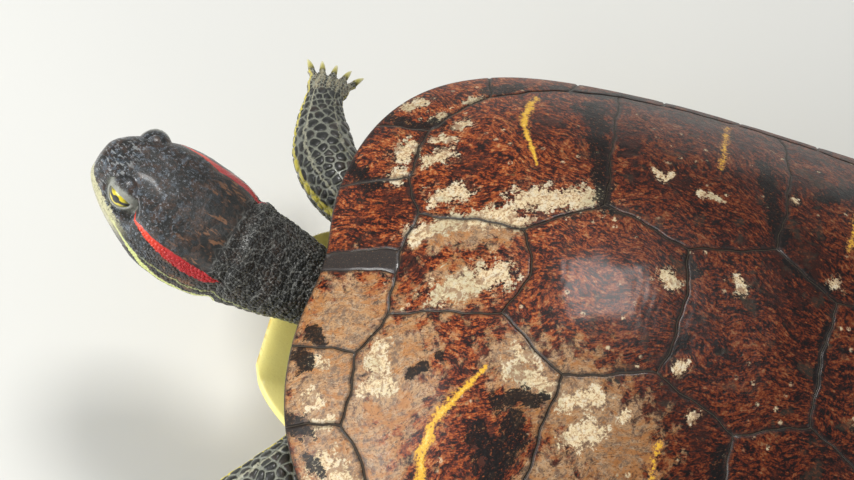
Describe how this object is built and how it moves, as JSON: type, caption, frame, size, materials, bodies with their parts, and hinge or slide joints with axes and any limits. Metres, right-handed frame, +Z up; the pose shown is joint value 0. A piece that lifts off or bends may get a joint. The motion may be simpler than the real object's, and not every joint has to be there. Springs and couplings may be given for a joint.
{
  "type": "red-eared slider turtle display model",
  "caption": "Life-size red-eared slider turtle in a swimming pose, limbs and neck out of a domed plated shell, held over a flat base by short rods.",
  "frame": {"origin": "centre of the stand base's underside, on the floor", "axes": "head points along -Y, tail along +Y, the animal's left side is +X, its right side is -X, +Z is up through the shell"},
  "size_m": [0.25, 0.3586, 0.1388],
  "materials": {
    "carapace_plates": "glossy, wet-looking red-brown horn with black blotches, pale worn patches and yellow bars",
    "plastron_plates": "satin yellow horn with dark smudges",
    "skin": "dark skin with fine pale wrinkle lines, red and yellow stripes on the head",
    "feet": "dark scales edged in pale grey, pale yellow claws",
    "eyes": "clear gloss over a yellow iris with a dark bar",
    "stand_plate": "satin dark grey paint on steel",
    "stand_rods": "brushed"
  },
  "bodies": {
    "root": {"cervical": "carapace_plates", "vertebral_1": "carapace_plates", "vertebral_2": "carapace_plates", "vertebral_3": "carapace_plates", "vertebral_4": "carapace_plates", "vertebral_5": "carapace_plates", "costal_left_1": "carapace_plates", "costal_right_1": "carapace_plates", "costal_left_2": "carapace_plates", "costal_right_2": "carapace_plates", "costal_left_3": "carapace_plates", "costal_right_3": "carapace_plates", "costal_left_4": "carapace_plates", "costal_right_4": "carapace_plates", "marginal_left_1": "carapace_plates", "marginal_right_1": "carapace_plates", "marginal_left_2": "carapace_plates", "marginal_right_2": "carapace_plates", "marginal_left_3": "carapace_plates", "marginal_right_3": "carapace_plates", "marginal_left_4": "carapace_plates", "marginal_right_4": "carapace_plates", "marginal_left_5": "carapace_plates", "marginal_right_5": "carapace_plates", "marginal_left_6": "carapace_plates", "marginal_right_6": "carapace_plates", "marginal_left_7": "carapace_plates", "marginal_right_7": "carapace_plates", "marginal_left_8": "carapace_plates", "marginal_right_8": "carapace_plates", "marginal_left_9": "carapace_plates", "marginal_right_9": "carapace_plates", "marginal_left_10": "carapace_plates", "marginal_right_10": "carapace_plates", "marginal_left_11": "carapace_plates", "marginal_right_11": "carapace_plates", "marginal_left_12": "carapace_plates", "marginal_right_12": "carapace_plates", "plastron": "plastron_plates", "trunk": "skin", "head": "skin", "lower_jaw": "skin", "eye_left": "eyes", "eye_right": "eyes", "neck": "skin", "foreleg_right": "skin", "foreleg_left": "skin", "hindleg_left": "skin", "hindleg_right": "skin", "forefoot_right": "feet", "forefoot_left": "feet", "hindfoot_left": "feet", "hindfoot_right": "feet", "tail": "skin", "stand_base": "stand_plate", "stand_rod_front": "stand_rods", "stand_rod_rear": "stand_rods"}
  },
  "joints": []
}
